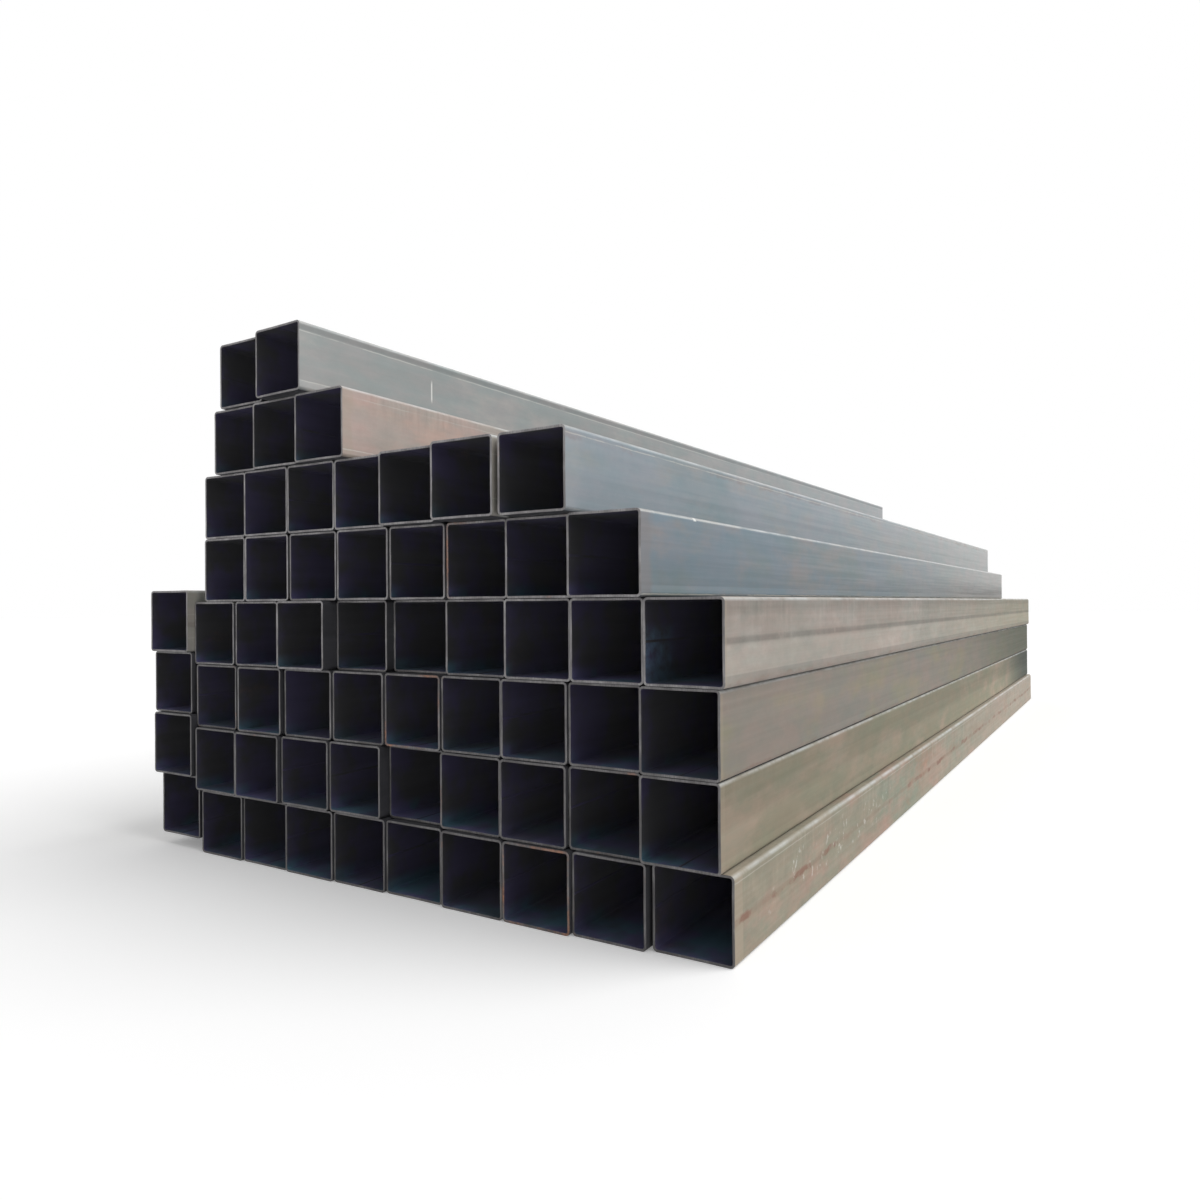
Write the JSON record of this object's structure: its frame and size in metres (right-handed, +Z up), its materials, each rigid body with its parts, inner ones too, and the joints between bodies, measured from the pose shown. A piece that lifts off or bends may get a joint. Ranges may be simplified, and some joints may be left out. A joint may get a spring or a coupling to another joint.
{
  "type": "stack of steel tubes",
  "caption": "Loose stack of long square steel hollow sections in level layers that step back at one side, as stored in a yard.",
  "frame": {"origin": "on the floor, below the middle of the stack's outline", "axes": "+Z up; the tubes run along Y with the near ends at -Y; +X points to the open side, from which the layers step back"},
  "size_m": [2.067, 6.115, 1.6],
  "materials": {
    "bare_steel": "bare mill-finish steel, weathered, with light rust",
    "timber": "rough sawn, weathered"
  },
  "bodies": {
    "root": {"tubes_layer_1": "bare_steel", "tubes_layer_2": "bare_steel", "tubes_layer_3": "bare_steel", "tubes_layer_4": "bare_steel", "tubes_layer_5": "bare_steel", "tubes_layer_6": "bare_steel", "tubes_layer_7": "bare_steel", "tubes_layer_8": "bare_steel", "packing_battens": "timber"}
  },
  "joints": []
}
